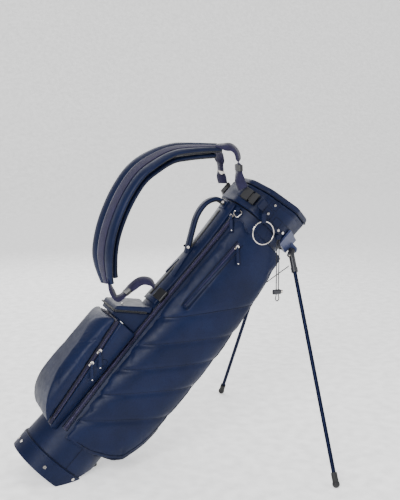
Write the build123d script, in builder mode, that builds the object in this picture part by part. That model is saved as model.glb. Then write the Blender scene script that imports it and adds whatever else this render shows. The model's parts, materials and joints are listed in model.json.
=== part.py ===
from build123d import *
import math
import os

# Golf stand bag, leaning on its two opened legs.
# Every piece is modelled on the upright bag: X to the front (the leg side), Y across, Z up the bag.
# The finished pieces are then tipped over to the lean the bag rests at.  Millimetres.

LEAN = 44.2            # tilt of the bag from upright when it stands on its legs
TOE_F = 11.0           # where the flat sole ends and the bevel starts
ORIGIN_X = 311.0       # moves the origin to the middle of the footprint
LIFT = TOE_F * math.sin(math.radians(LEAN))

BASE_R = 96.0          # moulded base band
BASE_H = 44.0
PLUG_R = 87.4          # part of the base that sits inside the body
SOLE = 18.0            # thickness of the moulded sole

# outer radius of the round body at each height
BODY = [(BASE_H, 92.4), (110, 90.5), (300, 86.0), (520, 83.5), (640, 82.5), (720, 86.0), (800, 92.5)]
SKIN = 3.0             # leather over stiffener
BODY_TOP = 800.0

COLLAR_TOP = 881.0     # rim height on the bag's axis
RIM_SLOPE = 8.5        # the rim rises towards the front

PIVOT = (107.0, 62.0, 806.0)         # leg pivot: front, out to the side, height
HINGE = (0.0, 0.55472, 0.83204)      # leg pivot axis, near side
LEG_DIR = (0.5857, -0.4863, -0.6482)  # opened near leg
LEG_L = 585.0
LEG_R = 5.0
LUG_AT = 27.0          # spreader wire's eye, down the leg from the pivot

UP = (Align.CENTER, Align.CENTER, Align.MIN)
DOWN = (Align.CENTER, Align.CENTER, Align.MAX)
tipped = Location((-ORIGIN_X, 0, LIFT), (0, LEAN, 0))
ground = Location((TOE_F, 0, 0), (0, -LEAN, 0))   # the ground, seen from the upright bag

os.makedirs("parts", exist_ok=True)


def save(piece, label):
    """Tip a piece over with the bag and write it."""
    placed = piece.part.moved(tipped)
    placed.label = label
    export_step(placed, f"parts/{label}.step")


def save_group(label, *pieces):
    """Write several like pieces as one node of separate solids."""
    with BuildPart() as group:
        for piece in pieces:
            add(piece.part)
    save(group, label)


def body_radius(h):
    """Outer radius of the body at a height."""
    for (h0, r0), (h1, r1) in zip(BODY, BODY[1:]):
        if h <= h1:
            return r0 + (r1 - r0) * (h - h0) / (h1 - h0)
    return BODY[-1][1]


def round_body(extra):
    """The body's round form grown by a margin, as a solid."""
    with BuildPart() as form:
        with BuildSketch(Plane.XZ):
            with BuildLine():
                side = Spline(*[(r + extra, h) for h, r in BODY])
                Polyline(side @ 1, (0, BODY_TOP), (0, BASE_H), side @ 0)
            make_face()
        revolve(axis=Axis.Z)
    return form.part


def seam_angle(h):
    """Angle of the side seam round from the back of the bag."""
    if h < 640:
        return 57.5 - 19.0 * (1 - ((640 - h) / 545) ** 1.6)
    return 38.5


def on_back(h, angle, out):
    """Point at a height and angle from the back, on the near side, some way out from the skin."""
    r = body_radius(h) + out
    a = math.radians(angle)
    return (-r * math.cos(a), -r * math.sin(a), h)


def facing(h, angle, out):
    """Horizontal plane there whose X runs along the skin."""
    a = math.radians(angle)
    return Plane(origin=on_back(h, angle, out), x_dir=(math.sin(a), -math.cos(a), 0), z_dir=(0, 0, 1))


def outward(f, s, h):
    """Plane whose normal points straight out from the bag's axis."""
    return Plane(origin=(f, s, h), x_dir=(0, 0, 1), z_dir=(f, s, 0))


def pointing(at, along, out):
    """Location whose Z runs along one direction and Y out along the other."""
    z = Vector(*along).normalized()
    x = Vector(*out).cross(z).normalized()
    return Location(Plane(origin=at, x_dir=x, z_dir=z))


# ------------------------------------------------------------------ base

with BuildPart() as lever_slot:
    with Locations(ground * Location((58.5 - 7.9, 0, 0))):
        Box(80, 56, 26.4, align=(Align.MIN, Align.CENTER, Align.CENTER))

with BuildPart() as cup_hollow:
    with Locations((0, 0, 6)):
        Cylinder(PLUG_R - 4, 120, align=UP)
    with Locations(ground * Location((0, 0, SOLE))):
        Box(600, 600, 400, align=DOWN, mode=Mode.SUBTRACT)

with BuildPart() as base_cup:
    Cylinder(BASE_R, BASE_H, align=UP)
    fillet(base_cup.edges().group_by(Axis.Z)[-1], 2)
    with Locations((0, 0, BASE_H)):
        Cylinder(PLUG_R, 46, align=UP)
    with Locations(ground):
        Box(600, 600, 400, align=DOWN, mode=Mode.SUBTRACT)
    add(cup_hollow.part, mode=Mode.SUBTRACT)
    add(lever_slot.part, mode=Mode.SUBTRACT)
    with Locations(ground * Location((66 - 7.9, 0, 6.5), (90, 0, 0))):
        Cylinder(2.55, 70, mode=Mode.SUBTRACT)
save(base_cup, "base_cup")

with BuildPart() as base_rivets:
    for angle, h in ((187, 22), (173, 22), (246, 20), (114, 20), (292, 36), (68, 36)):
        a = math.radians(angle)
        with BuildSketch(outward((BASE_R + 0.15) * math.cos(a), (BASE_R + 0.15) * math.sin(a), h)):
            Circle(4)
        extrude(amount=1.6)
    chamfer(base_rivets.edges().filter_by(GeomType.CIRCLE).sort_by(Axis.Z), 0.3)

with BuildPart() as base_lever:
    with Locations(ground * Location((66 - 7.9, 0, 6.5), (90, 0, 0))):
        Cylinder(6, 50)
    with Locations(ground * Location((66 - 7.9, 0, 0.2))):
        Box(64, 50, 9, align=(Align.MIN, Align.CENTER, Align.MIN))
    upright_edges = base_lever.edges().filter_by(GeomType.LINE).filter_by(lambda e: e.length < 9.5)
    fillet(upright_edges.sort_by(Axis.X)[-2:], 14)
    with Locations(ground * Location((66 - 7.9, 0, 6.5), (90, 0, 0))):
        Cylinder(2.55, 60, mode=Mode.SUBTRACT)
save(base_lever, "base_lever")

with BuildPart() as base_lever_pin:
    with Locations(ground * Location((66 - 7.9, 0, 6.5), (90, 0, 0))):
        Cylinder(2.5, 66)

# ------------------------------------------------------------------ body

with BuildPart() as body_shell:
    with BuildSketch(Plane.XZ):
        with BuildLine():
            outer = Spline(*[(r, h) for h, r in BODY])
            inner = Spline(*[(r - SKIN, h) for h, r in BODY])
            Line(outer @ 0, inner @ 0)
            Line(outer @ 1, inner @ 1)
        make_face()
    revolve(axis=Axis.Z)
    with Locations(ground):
        Box(600, 600, 400, align=DOWN, mode=Mode.SUBTRACT)
    add(lever_slot.part, mode=Mode.SUBTRACT)
save(body_shell, "body_shell")

with BuildPart() as body_lining:
    with BuildSketch(Plane.XZ):
        with BuildLine():
            outer = Spline(*[(r - SKIN - 0.4, h) for h, r in BODY])
            inner = Spline(*[(r - SKIN - 1.4, h) for h, r in BODY])
            Line(outer @ 0, inner @ 0)
            Line(outer @ 1, inner @ 1)
        make_face()
    revolve(axis=Axis.Z)
    with Locations((0, 0, 94)):
        Box(400, 400, 200, align=DOWN, mode=Mode.SUBTRACT)

keepout = round_body(0.4)

# ------------------------------------------------------------------ side garment pockets

SIDE_FRONT = [(63, 117), (104, 139), (119, 168), (133, 210), (139, 262), (141, 337), (140, 414),
              (134, 518), (128, 603), (115, 697), (105, 740), (96, 778)]
# how far the pocket stands out to the front and to the side at each height
SIDE_BULGE = [(90, 122, 97), (200, 139, 100), (340, 142, 103), (480, 138, 102), (620, 127, 97), (780, 97, 96)]


def bulge(h, front, wide):
    """Outline of the side pocket's full form at a height."""
    with BuildSketch(Plane.XY.offset(h)) as ring:
        with BuildLine():
            skin = Spline((front - 2, -30), (front, -52), (front - 9, -74), (front - 42, -wide + 5),
                          (front * 0.3, -wide), (-30, -wide + 8), (-66, -66), (-84, -30))
            Line(skin @ 1, skin @ 0)
        make_face()
    return ring.sketch


with BuildPart() as side_form:
    for h, front, wide in SIDE_BULGE:
        add(bulge(h, front, wide))
    loft()

with BuildPart() as side_pocket_near:
    with BuildSketch(Plane.XZ.offset(40)):
        with BuildLine():
            front_edge = Spline(*SIDE_FRONT)
            low = Spline((-46, 94), (-4, 99), (25, 103), front_edge @ 0)
            rear = Spline(*[(on_back(h, seam_angle(h), 0)[0], h) for h in (94, 200, 330, 480, 640, 778)])
            Line(low @ 0, rear @ 0)
            Line(rear @ 1, front_edge @ 1)
        make_face()
    extrude(amount=90)
    add(side_form.part, mode=Mode.INTERSECT)
    # room beside the leg pad for the folded leg and its shoe
    with BuildSketch(Plane.YZ.offset(-20)):
        Polygon((0, 60), (-51, 60), (-51, 300), (-72, 800), (0, 800), align=None)
    extrude(amount=200, mode=Mode.SUBTRACT)
    add(keepout, mode=Mode.SUBTRACT)
    # bed for the valuables zip
    with Locations(Location((-33, -83, 622), (1.2, 1.0, 0))):
        Box(13, 40, 214, align=(Align.CENTER, Align.MAX, Align.CENTER), mode=Mode.SUBTRACT)
save(side_pocket_near, "side_pocket_near")

with BuildPart() as side_pocket_far:
    mirror(side_pocket_near.part, about=Plane.XZ)
save(side_pocket_far, "side_pocket_far")

with BuildPart() as garment_zip:
    for h in (120, 230, 340, 450, 560, 670, 768):
        with BuildSketch(facing(h, seam_angle(h) - 5.2, 1.5)):
            Rectangle(10, 1.6)
    loft()
save(garment_zip, "garment_zip")

with BuildPart() as valuables_zip:
    with Locations(Location((-33, -83.4, 622), (1.2, 1.0, 0))):
        Box(12, 1.6, 206, align=(Align.CENTER, Align.MAX, Align.CENTER))
save(valuables_zip, "valuables_zip")

# ------------------------------------------------------------------ ball pocket

POCKET_BACK = [(-96, 99), (-134, 135), (-151, 176), (-159, 243), (-163, 321), (-158, 376), (-146, 388),
               (-124, 391)]
POCKET_PLAN = [(-62, -57), (-90, -73), (-125, -77), (-152, -62), (-164, -30), (-165, 0)]
X_ONLY = Vector(1, 0, 0)
Y_ONLY = Vector(0, 1, 0)
parting = Location((-99, 0, 142), (0, -7.9, 0))   # the zip runs round the pocket in this plane


def drawn_in(points, centre, inset):
    """Points moved toward a centre by a margin."""
    moved = []
    for a, b in points:
        away = Vector(a - centre[0], b - centre[1])
        kept = away.normalized() * (away.length - inset)
        moved.append((centre[0] + kept.X, centre[1] + kept.Y))
    return moved


def ball_pocket_form(inset):
    """The whole ball pocket, drawn in by a margin."""
    with BuildPart() as form:
        with BuildSketch(Plane.XZ):
            with BuildLine():
                back = Spline(*drawn_in(POCKET_BACK, (-95, 240), inset))
                Polyline(back @ 1, (-75, 391 - inset), (-66, 99 + inset), back @ 0)
            make_face()
        extrude(amount=90, both=True)
        with BuildSketch(Plane.XY.offset(60)):
            with BuildLine():
                half = Spline(*drawn_in(POCKET_PLAN, (-100, 0), inset))
                mirror(about=Plane.XZ)
                Line(half @ 0, (half @ 0).X * X_ONLY - (half @ 0).Y * Y_ONLY)
            make_face()
        extrude(amount=400, mode=Mode.INTERSECT)
    return form.part


with BuildPart() as ball_pocket:
    add(ball_pocket_form(0))
    with Locations(parting * Location((4.5, 0, 0))):
        Box(300, 300, 900, align=(Align.MAX, Align.CENTER, Align.CENTER), mode=Mode.SUBTRACT)
    add(keepout, mode=Mode.SUBTRACT)
save(ball_pocket, "ball_pocket")

with BuildPart() as ball_pocket_door:
    add(ball_pocket_form(0))
    with Locations(parting * Location((-4.5, 0, 0))):
        Box(300, 300, 900, align=(Align.MIN, Align.CENTER, Align.CENTER), mode=Mode.SUBTRACT)
    add(keepout, mode=Mode.SUBTRACT)
save(ball_pocket_door, "ball_pocket_door")

with BuildPart() as ball_zip:
    add(ball_pocket_form(4))
    with Locations(parting):
        Box(8.6, 300, 900, mode=Mode.INTERSECT)
    add(keepout, mode=Mode.SUBTRACT)
save(ball_zip, "ball_zip")

# ------------------------------------------------------------------ upper pouch and its flap

with BuildPart() as pouch:
    with BuildSketch(Plane.XZ):
        Polygon((-60, 392), (-147, 392), (-150, 399), (-70, 453), (-60, 453), align=None)
    extrude(amount=45.5, both=True)
    with BuildSketch(Plane.XZ):
        Polygon((-60, 396), (-145, 396), (-160, 399), (-70, 460), (-60, 460), align=None)
    extrude(amount=42, both=True, mode=Mode.SUBTRACT)
    with BuildSketch(Plane.XZ):
        Polygon((-147, 392), (-150, 399), (-146, 401.5), (-143, 394), align=None)
    extrude(amount=45.5, both=True)
    add(keepout, mode=Mode.SUBTRACT)
save(pouch, "pouch")

with BuildPart() as pouch_flap:
    with BuildSketch(Plane.XZ):
        Polygon((-152, 400), (-74, 453.5), (-80, 468), (-118, 441), (-154, 414), align=None)
    extrude(amount=51.5, both=True)
    fillet(pouch_flap.edges().filter_by(Axis.Y).sort_by(Axis.X)[:2], 2.5)
    add(round_body(1.2), mode=Mode.SUBTRACT)
save(pouch_flap, "pouch_flap")

# ------------------------------------------------------------------ spine, handle

with BuildPart() as spine_panel:
    add(round_body(5.5))
    with Locations((-60, 0, 637)):
        Box(110, 80, 320, mode=Mode.INTERSECT)
    add(keepout, mode=Mode.SUBTRACT)
save(spine_panel, "spine_panel")

with BuildPart() as handle_patches:
    add(round_body(8.4))
    with BuildSketch(Plane.YZ) as patch_outline:
        Polygon((-13, 648), (13, 648), (32, 560), (16, 560), (0, 606), (-16, 560), (-32, 560), align=None)
        with Locations((0, 784)):
            Rectangle(36, 26)
    extrude(amount=-200, mode=Mode.INTERSECT)
    add(round_body(5.9), mode=Mode.SUBTRACT)

with BuildPart() as handle:
    with BuildLine(Plane.XZ) as grip_line:
        Spline((-80, 618), (-108, 668), (-131, 714), (-135, 752), (-122, 778), (-100, 785), (-84, 785))
    with BuildSketch(Plane(grip_line.line @ 0, x_dir=(0, 1, 0), z_dir=grip_line.line % 0)):
        RectangleRounded(24, 13, 6)
    sweep()
    add(round_body(8.8), mode=Mode.SUBTRACT)
save(handle, "handle")

with BuildPart() as handle_rivets:
    for h, f in ((640, -98.5), (783, -108)):
        with Locations(Location((f, 0, h), (90, 0, 0))):
            Cylinder(3.4, 2 * 14.2)
            Cylinder(3.5, 2 * 12.3, mode=Mode.SUBTRACT)

# ------------------------------------------------------------------ collar

MOUTH = [(92, -52), (25, -103), (-62, -92), (-101, -46), (-101, 46), (-62, 92), (25, 103), (92, 52)]
MOUTH_IN = [(66, -42), (22, -84), (-44, -76), (-70, -38), (-70, 38), (-44, 76), (22, 84), (66, 42)]


def mouth(outline, corner, grow=0.0):
    """Rounded outline of the mouth."""
    with BuildSketch() as ring:
        Polygon(*outline, align=None)
        fillet(ring.vertices(), corner)
        if grow:
            offset(amount=grow)
    return ring.sketch


rim_plane = Plane(Location((0, 0, COLLAR_TOP), (0, -RIM_SLOPE, 0)))

with BuildPart() as collar_form:
    with BuildSketch(Plane.XY.offset(BODY_TOP + 0.3)):
        add(mouth(MOUTH, 42, -1.5))
    with BuildSketch(Plane.XY.offset(COLLAR_TOP + 40)):
        add(mouth(MOUTH, 28, 0.0))
    loft()

with BuildPart() as collar:
    add(collar_form.part)
    with BuildSketch(Plane.XY.offset(700)):
        add(mouth(MOUTH, 28, -11))
    extrude(amount=400, mode=Mode.SUBTRACT)
    with BuildSketch(rim_plane.offset(-9)):
        Rectangle(500, 500)
    extrude(amount=200, mode=Mode.SUBTRACT)
save(collar, "collar")

with BuildPart() as collar_rim:
    with BuildSketch(rim_plane.offset(-8.7)):
        add(mouth(MOUTH, 28))
        add(mouth(MOUTH_IN, 22), mode=Mode.SUBTRACT)
    extrude(amount=16)
    fillet(collar_rim.faces().sort_by(Axis.Z)[-1].edges(), 6)
save(collar_rim, "collar_rim")

with BuildPart() as collar_lining:
    with BuildSketch(Plane.XY.offset(BODY_TOP + 4)):
        add(mouth(MOUTH, 28, -11.3))
        add(mouth(MOUTH, 28, -12.5), mode=Mode.SUBTRACT)
    extrude(amount=120)
    with BuildSketch(rim_plane.offset(-9.2)):
        Rectangle(500, 500)
    extrude(amount=200, mode=Mode.SUBTRACT)

with BuildPart() as divider_across:
    with Locations((17.4, 0, 845)):
        Box(15.6, 2 * 84.5, 22)
    fillet(divider_across.edges().filter_by(Axis.Y), 6)
save(divider_across, "divider_across")

with BuildPart() as divider_lengthwise:
    with Locations((9.3, 0, 845)):
        Box(96.5, 15, 22, align=(Align.MAX, Align.CENTER, Align.CENTER))
    fillet(divider_lengthwise.edges().filter_by(Axis.X), 6)
save(divider_lengthwise, "divider_lengthwise")

with BuildPart() as divider_sheet_across:
    with Locations((17.4, 0, 102)):
        Box(1.6, 148, 731.5, align=UP)

with BuildPart() as divider_sheet_lengthwise:
    with Locations((16, 0, 102)):
        Box(90, 1.6, 731.5, align=(Align.MAX, Align.CENTER, Align.MIN))

# ------------------------------------------------------------------ collar hardware

# where each rivet sits and which way it faces: two on the tabs, two by the drawcord, one on the bracket
COLLAR_RIVETS = ((-30, -98.6, 853, -0.09, -1), (-30, -98.2, 826, -0.09, -1), (20, -99.8, 814.5, 0, -1),
                 (34, -99.2, 818, 0.12, -1), (97.6, -40, 815, 1, 0))

with BuildPart() as collar_rivets:
    for f, s, h, out_f, out_s in COLLAR_RIVETS:
        for side in (1, -1):
            with BuildSketch(Plane(origin=(f, s * side, h), x_dir=(0, 0, 1), z_dir=(out_f, out_s * side, 0))):
                Circle(3.2)
            extrude(amount=-8)
    add(collar_form.part, mode=Mode.SUBTRACT)
    with Locations((96.2, 0, 815)):
        Box(20, 114, 30, align=(Align.MAX, Align.CENTER, Align.CENTER), mode=Mode.SUBTRACT)

RING_AT = (-31.0, -107.5, 801.5)     # the towel ring's hanging point
upright_world = Location((0, 0, 0), (0, -LEAN, 0))
ring_hang = Location(RING_AT) * upright_world

with BuildPart() as towel_ring:
    with Locations(ring_hang * Location((0, 0, -28.5), (90, 0, 0))):
        Torus(28.5, 1.5)
save(towel_ring, "towel_ring")

with BuildPart() as towel_ring_tab:
    with Locations(ring_hang * Location((0, 0, 8))):
        Box(12, 8, 25)
    fillet(towel_ring_tab.edges().filter_by(lambda e: 7.9 < e.length < 8.1), 3)
    with Locations(ring_hang * Location((0, 0, 0), (0, 90, 0))):
        Cylinder(2.4, 20, mode=Mode.SUBTRACT)
    with Locations(ring_hang * Location((0, 8.5, 12))):
        Box(12, 14, 16)
    add(collar_form.part, mode=Mode.SUBTRACT)
    add(keepout, mode=Mode.SUBTRACT)

# small D-ring on the near side below the strap buckle
DRING_AT = on_back(786, 36, 6.4)
dring_hang = pointing(DRING_AT, (-0.29, 0.40, 0.87), (-0.81, -0.59, 0))

with BuildPart() as d_ring:
    with BuildLine(Plane(dring_hang * Location((0, 0, 0), (90, 0, 0)))) as d_line:
        FilletPolyline((-10, 0), (10, 0), (10, -9), (0, -20), (-10, -9), radius=4.5, close=True)
    with BuildSketch(Plane(d_line.line @ 0, z_dir=d_line.line % 0)):
        Circle(1.2)
    sweep()
save(d_ring, "d_ring")

with BuildPart() as d_ring_tab:
    with Locations(dring_hang * Location((0, 0, 2))):
        Box(11, 6.4, 12)
    with Locations(dring_hang * Location((0, 0, 0), (0, 90, 0))):
        Cylinder(1.8, 20, mode=Mode.SUBTRACT)
    add(round_body(2.6), mode=Mode.SUBTRACT)

# ------------------------------------------------------------------ zip sliders and pulls


def slider(where, length=13.0):
    """Zip slider: a small wedge with a pull bridge. Z runs along the zip, Y away from the bag."""
    with BuildPart() as piece:
        with Locations(where * Location((0, 2.2, 0))):
            Box(8.4, 2.6, length)
        fillet(piece.edges().filter_by(lambda e: abs(e.length - 2.6) < 0.01), 2.2)
        with Locations(where * Location((0, 4.6, 0))):
            Box(3.0, 2.4, 8.0)
    return piece


def pull(where):
    """Leather pull hanging from a wire link. Z runs up the pull, Y away from the bag."""
    with BuildPart() as piece:
        with Locations(where * Location((0, 1.2, -26))):
            Box(9.5, 2.4, 34)
        fillet(piece.edges().filter_by(lambda e: abs(e.length - 2.4) < 0.01), 3)
        with Locations(where * Location((0, 1.2, -3.5))):
            Box(6, 1.6, 12)
    return piece


GARMENT_AT = on_back(764, seam_angle(764) - 5.2, 2.6)
GARMENT_LOW = on_back(690, seam_angle(690) - 5.2, 2.6)
garment_along = Vector(*GARMENT_AT) - Vector(*GARMENT_LOW)
garment_out = (-0.84, -0.54, 0)
garment_slider = slider(pointing(GARMENT_AT, garment_along, garment_out))
save(garment_slider, "garment_slider")
GARMENT_PULL = Vector(*GARMENT_AT) + Vector(*garment_out) * 7.2
garment_pull = pull(pointing(GARMENT_PULL, (-0.49, 0.47, 0.735), (-0.68, -0.73, 0)))
save(garment_pull, "garment_pull")

valuables_frame = Location((-33, -85.6, 622), (1.2, 1.0, 0))
valuables_slider = slider(valuables_frame * Location((0, 0, 90), (0, 0, 180)))
save(valuables_slider, "valuables_slider")
valuables_pull = pull(pointing((-31.1, -93.4, 711), (-0.69, 0.13, 0.71), (-0.05, -0.98, 0.1)))
save(valuables_pull, "valuables_pull")

ball_out = (-0.02, -1, 0)
for name, h in (("ball_slider_upper", 306), ("ball_slider_lower", 272)):
    at = (-99 - (h - 142) * 0.1388, -75.2, h)
    piece = slider(pointing(at, (-0.1374, 0, 0.9905), ball_out))
    save(piece, name)
    hanging = (-math.sin(math.radians(LEAN)), 0, math.cos(math.radians(LEAN)))
    piece = pull(pointing((at[0], -81.8, h), hanging, ball_out))
    save(piece, name.replace("slider", "pull"))

# ------------------------------------------------------------------ shoulder strap

STRAP = [(-209, 867), (-260, 818), (-292, 781), (-312, 737), (-323, 685), (-316, 628), (-298, 571),
         (-276, 525), (-249, 487), (-218, 461), (-196, 447)]


PAD_WIDTHS = ((0, 0.5), (0.16, 0.76), (0.36, 1.0), (0.78, 1.0), (1, 0.58))   # how the pads taper to their ends


def strap_pad(out, s, width, thick, twist):
    """Curved shoulder pad, a little way out from or in from the strap's middle line."""
    points = []
    for f, h in STRAP:
        away = Vector(f + 170, h - 655).normalized() * out
        points.append((f + away.X, h + away.Y))
    with BuildPart() as pad:
        with BuildLine(Plane.XZ.offset(-s)) as run:
            Spline(*points)
        for along, share in PAD_WIDTHS:
            with BuildSketch(Plane(run.line @ along, x_dir=(0, 1, 0), z_dir=run.line % along)):
                RectangleRounded(width * share, thick, 5, rotation=twist)
        sweep(multisection=True)
    return pad


strap_pad_near = strap_pad(6, -12, 92, 12, -16)
save(strap_pad_near, "strap_pad_near")
strap_pad_far = strap_pad(-13, -2, 80, 12, -16)
save(strap_pad_far, "strap_pad_far")


def web(points, s, width, cut=()):
    """Flat strap running in one plane across the bag."""
    with BuildPart() as strap:
        with BuildLine(Plane.XZ.offset(-s)) as run:
            Spline(*points)
        with BuildSketch(Plane(run.line @ 0, x_dir=(0, 1, 0), z_dir=run.line % 0)):
            Rectangle(width, 2)
        sweep()
        for form in cut:
            add(form, mode=Mode.SUBTRACT)
    return strap


pads = (strap_pad_near.part, strap_pad_far.part)
WEB_UPPER_NEAR = [(-206, 880), (-193, 893), (-176, 887), (-158, 872), (-142, 857), (-124, 842)]
WEB_UPPER_FAR = [(-196, 862), (-178, 866), (-163, 861), (-150, 850), (-138, 840), (-124, 832)]
WEB_LOWER = [(-190, 441), (-181, 434), (-168, 428), (-158, 430), (-153, 445), (-150, 470), (-143, 497),
             (-124, 511), (-106, 509)]
web_upper_near = web(WEB_UPPER_NEAR, -50, 25, pads)
web_upper_far = web(WEB_UPPER_FAR, 40, 25, pads)
web_lower = web(WEB_LOWER, -34, 25, pads)


def adjuster(at, along, width=34.0, depth=16.0):
    """Strap adjuster: a frame with one bar slot. Z runs along the webbing, X across it."""
    where = pointing(at, along, (-along[2], 0, along[0]))
    with BuildPart() as frame:
        with Locations(where):
            Box(width, 6.4, depth)
        fillet(frame.edges().filter_by(lambda e: abs(e.length - 6.4) < 0.01), 3)
        with Locations(where):
            Box(27, 3.4, 40, mode=Mode.SUBTRACT)
    return frame


adjuster_upper_near = adjuster((-150, -50, 864.6), (0.73, 0, -0.68))
adjuster_upper_far = adjuster((-144, 40, 845), (0.77, 0, -0.64), depth=9)
save(adjuster_upper_far, "adjuster_upper_far")
adjuster_lower = adjuster((-151.6, -34, 457), (0.12, 0, 0.99))


def buckle(at, out, side):
    """Side-release buckle, with the socket half toward the front of the bag and the plug half behind it."""
    where = pointing(at, (side * out[1], -side * out[0], 0), out)
    with BuildPart() as socket:
        with Locations(where * Location((0, 6, 12))):
            Box(31, 9, 22)
        fillet(socket.edges().filter_by(lambda e: abs(e.length - 22) < 0.01), 2.5)
        with Locations(where * Location((0, 6, 6))):
            Box(23, 4.6, 20, mode=Mode.SUBTRACT)
    with BuildPart() as plug:
        with Locations(where * Location((0, 6, -12))):
            Box(31, 8, 14)
        fillet(plug.edges().filter_by(lambda e: abs(e.length - 14) < 0.01), 2.5)
        with Locations(where * Location((0, 6, -2.5))):
            Box(21.5, 3.6, 30, align=(Align.CENTER, Align.CENTER, Align.CENTER))
        with Locations(where * Location((0, 6, -16))):
            Box(26, 3.2, 3.2, mode=Mode.SUBTRACT)
    return socket, plug


buckle_out = (-0.777, -0.629, 0)
buckle_socket_near, buckle_plug_near = buckle((-81, -71.5, 830), buckle_out, 1)
with BuildPart() as buckle_socket_far:
    mirror(buckle_socket_near.part, about=Plane.XZ)
with BuildPart() as buckle_plug_far:
    mirror(buckle_plug_near.part, about=Plane.XZ)

with BuildPart() as strap_patches:
    with Locations(Location((-57, -97.2, 831), (0, 0, 18))):
        Box(22, 6, 26)
    mirror(about=Plane.XZ)
    add(collar_form.part, mode=Mode.SUBTRACT)

with BuildPart() as buckle_lower:
    with Locations(Location(on_back(504, 27, 6.6)) * Location((0, 0, 0), (0, 0, 27 + 90))):
        with Locations(Location((0, 4.5, 0))):
            Box(30, 9, 28)
    fillet(buckle_lower.edges().filter_by(lambda e: abs(e.length - 28) < 0.01), 3)
    with Locations(Location(on_back(504, 27, 6.6)) * Location((0, 0, 0), (0, 0, 27 + 90))):
        with Locations(Location((0, 5.5, 8))):
            Box(26, 4, 16, mode=Mode.SUBTRACT)
save(buckle_lower, "buckle_lower")

# ------------------------------------------------------------------ legs

pivot = Location(Plane(origin=(PIVOT[0], -PIVOT[1], PIVOT[2]), x_dir=(1, 0, 0), z_dir=HINGE))
leg_line = Location(Plane(origin=(PIVOT[0], -PIVOT[1], PIVOT[2]), x_dir=(0, 0.8, -0.6), z_dir=LEG_DIR))

with BuildPart() as bracket_wing:
    with Locations(Location((72, -70, 818), (0, 0, 36))):
        Box(56, 9, 44)
    with Locations(pivot * Location((0, 0, 10.5))):
        Box(44, 24, 6, align=(Align.MAX, Align.CENTER, Align.MIN))
        Cylinder(12, 6, align=UP)
    with Locations(pivot * Location((0, 0, -20))):
        Cylinder(9.2, 30.5, align=UP, mode=Mode.SUBTRACT)
    with Locations(pivot):
        Cylinder(3.0, 60, mode=Mode.SUBTRACT)

with BuildPart() as leg_bracket:
    with Locations((96.2, 0, 815)):
        Box(10, 114, 30, align=(Align.MAX, Align.CENTER, Align.CENTER))
    add(bracket_wing.part)
    mirror(bracket_wing.part, about=Plane.XZ)
    with BuildSketch(Plane.XY.offset(700)):
        add(mouth(MOUTH, 42, 0.6))
    extrude(amount=300, mode=Mode.SUBTRACT)
save(leg_bracket, "leg_bracket")

with BuildPart() as leg_pin_near:
    with Locations(pivot * Location((0, 0, 3.4))):
        Cylinder(2.95, 28)
with BuildPart() as leg_pins:
    add(leg_pin_near.part)
    mirror(leg_pin_near.part, about=Plane.XZ)

with BuildPart() as leg_socket_near:
    with Locations(pivot):
        Cylinder(8.5, 20)
    with Locations(leg_line):
        Cylinder(7.5, 50, align=UP)
    with Locations(leg_line * Location((0, 0, 40))):
        Cylinder(8.6, 12, align=UP)
    with Locations(leg_line * Location((0, 0, 14))):
        Cylinder(LEG_R + 0.05, 60, align=UP, mode=Mode.SUBTRACT)
    with Locations(pivot):
        Cylinder(3.05, 40, mode=Mode.SUBTRACT)
save(leg_socket_near, "leg_socket_near")

with BuildPart() as leg_tube_near:
    with Locations(leg_line * Location((0, 0, 14.5))):
        Cylinder(LEG_R, LEG_L - 14.5 - 12, align=UP)
        Cylinder(LEG_R - 1, LEG_L - 14.5 - 12, align=UP, mode=Mode.SUBTRACT)
save(leg_tube_near, "leg_tube_near")

with BuildPart() as leg_shoe_near:
    with Locations(leg_line * Location((0, 0, LEG_L - 36))):
        Cylinder(7.5, 32, align=UP)
    with Locations(leg_line * Location((0, 0, LEG_L - 9))):
        Sphere(9)
    with Locations(ground):
        Box(2400, 2400, 400, align=DOWN, mode=Mode.SUBTRACT)
    with Locations(leg_line * Location((0, 0, LEG_L - 12))):
        Cylinder(LEG_R + 0.05, 60, align=DOWN, mode=Mode.SUBTRACT)
save(leg_shoe_near, "leg_shoe_near")

LEG_PIECES = {"leg_socket_far": leg_socket_near, "leg_tube_far": leg_tube_near, "leg_shoe_far": leg_shoe_near}
for name, near in LEG_PIECES.items():
    with BuildPart() as far:
        mirror(near.part, about=Plane.XZ)
    save(far, name)

# ------------------------------------------------------------------ leg mechanism

SLIDE_AT = (98.0, 22.0, 602.0)       # spreader wire's lower pivot
WIRE_DIR = (0.1269, -0.2718, 0.9540)
WIRE_L = 195.5
WIRE_PIN = (0.702, 0.703, 0.107)
wire_line = Location(Plane(origin=(SLIDE_AT[0], -SLIDE_AT[1], SLIDE_AT[2]), x_dir=WIRE_PIN, z_dir=WIRE_DIR))
wire_pin = Location(Plane(origin=(SLIDE_AT[0], -SLIDE_AT[1], SLIDE_AT[2]), x_dir=WIRE_DIR, z_dir=WIRE_PIN))

with BuildPart() as wire_stub:
    with Locations(wire_pin * Location((0, 0, -3))):
        Cylinder(1.5, 24, align=UP)

with BuildPart() as push_block:
    with Locations((88, 0, 602)):
        Box(24, 26, 26, align=(Align.MIN, Align.CENTER, Align.CENTER))
    fillet(push_block.edges().filter_by(Axis.Z), 3)
    add(wire_stub.part)
    mirror(wire_stub.part, about=Plane.XZ)
    with Locations((96.5, 0, 560)):
        Cylinder(2.52, 50, align=UP, mode=Mode.SUBTRACT)
save(push_block, "push_block")

with BuildPart() as push_rod:
    with Locations((96.5, 0, 100.5)):
        Cylinder(2.5, 509, align=UP)
save(push_rod, "push_rod")

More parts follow.
